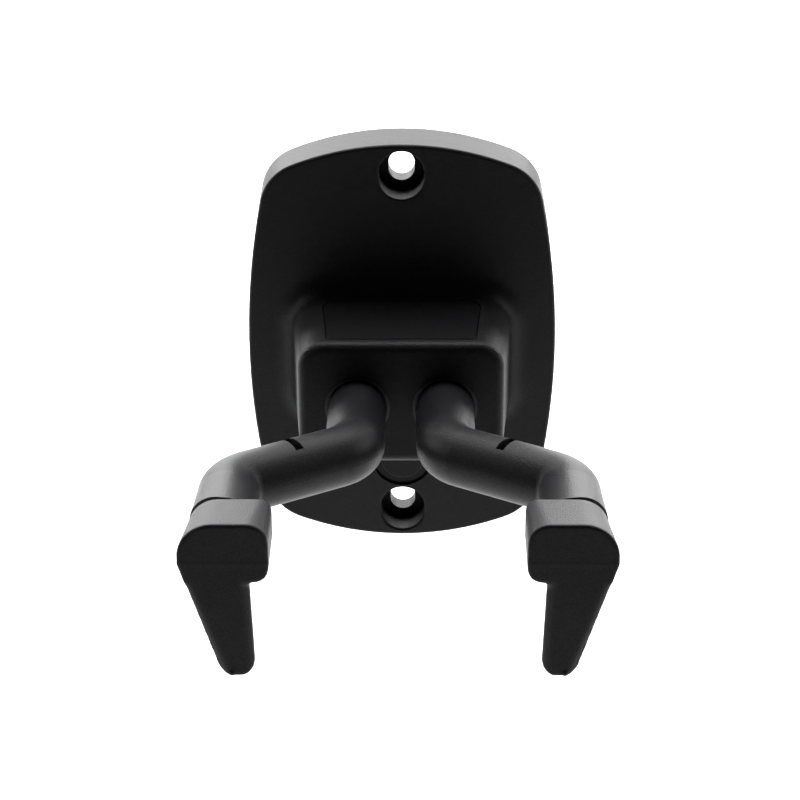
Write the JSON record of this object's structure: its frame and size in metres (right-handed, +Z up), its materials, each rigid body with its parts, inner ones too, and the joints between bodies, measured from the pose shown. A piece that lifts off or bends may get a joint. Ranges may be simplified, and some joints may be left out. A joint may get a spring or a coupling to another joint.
{
  "type": "wall guitar hanger",
  "caption": "Wall hanger for a guitar: barrel-shaped plate with a housing, and two cranked arms that turn inward under load, with soft end pads and retaining fingers.",
  "frame": {"origin": "on the wall, at the centre of the plate's back, halfway between the two screw slots", "axes": "+Z up, -Y out of the wall towards the instrument, +X to the right for a viewer facing the wall"},
  "size_m": [0.0886, 0.1172, 0.103],
  "materials": {
    "moulded_shell": "fine sandblast grain",
    "moulded_panel": "smooth satin",
    "inner_plastic": "plain moulded",
    "zinc_screw": "zinc plated",
    "bush_plastic": "smooth black acetal",
    "bumper_rubber": "matt",
    "coated_rod": "black powder coat",
    "arm_moulding": "fine grain, lightly scuffed",
    "pad_rubber": "soft touch, fine grain",
    "cam_steel": "turned",
    "spring_steel": "oiled spring steel"
  },
  "bodies": {
    "wall_base": {"wall_plate": "moulded_shell", "badge_panel": "moulded_panel", "screw_plug": "moulded_panel", "bearing_carrier": "inner_plastic", "rear_cover": "inner_plastic", "carrier_screws": "zinc_screw", "cover_screws": "zinc_screw", "front_bush_left": "bush_plastic", "front_bush_right": "bush_plastic", "rear_bush_left": "bush_plastic", "rear_bush_right": "bush_plastic", "stop_bumper_left": "bumper_rubber", "stop_bumper_right": "bumper_rubber"},
    "left_arm": {"arm_core_left": "coated_rod", "arm_sleeve_left": "arm_moulding", "pad_core_left": "inner_plastic", "end_pad_left": "pad_rubber", "stop_cam_left": "cam_steel", "cam_pin_left": "cam_steel", "torsion_spring_left": "spring_steel", "thrust_washer_left": "spring_steel", "rear_washer_left": "spring_steel", "retaining_ring_left": "spring_steel"},
    "right_arm": {"arm_core_right": "coated_rod", "arm_sleeve_right": "arm_moulding", "pad_core_right": "inner_plastic", "end_pad_right": "pad_rubber", "stop_cam_right": "cam_steel", "cam_pin_right": "cam_steel", "torsion_spring_right": "spring_steel", "thrust_washer_right": "spring_steel", "rear_washer_right": "spring_steel", "retaining_ring_right": "spring_steel"}
  },
  "joints": [
    {"name": "left_arm_turn", "type": "hinge", "parent": "wall_base", "child": "left_arm", "pos_m": [-0.01, -0.037, -0.002], "axis": [0, -0.9962, 0.0872], "range_deg": [0, 45], "stiffness_Nm_per_rad": 0.06, "springref_deg": -34.38, "deforming": ["torsion_spring_left"]},
    {"name": "right_arm_turn", "type": "hinge", "parent": "wall_base", "child": "right_arm", "pos_m": [0.01, -0.037, -0.002], "axis": [0, 0.9962, -0.0872], "range_deg": [0, 45], "stiffness_Nm_per_rad": 0.06, "springref_deg": -34.38, "deforming": ["torsion_spring_right"]}
  ]
}
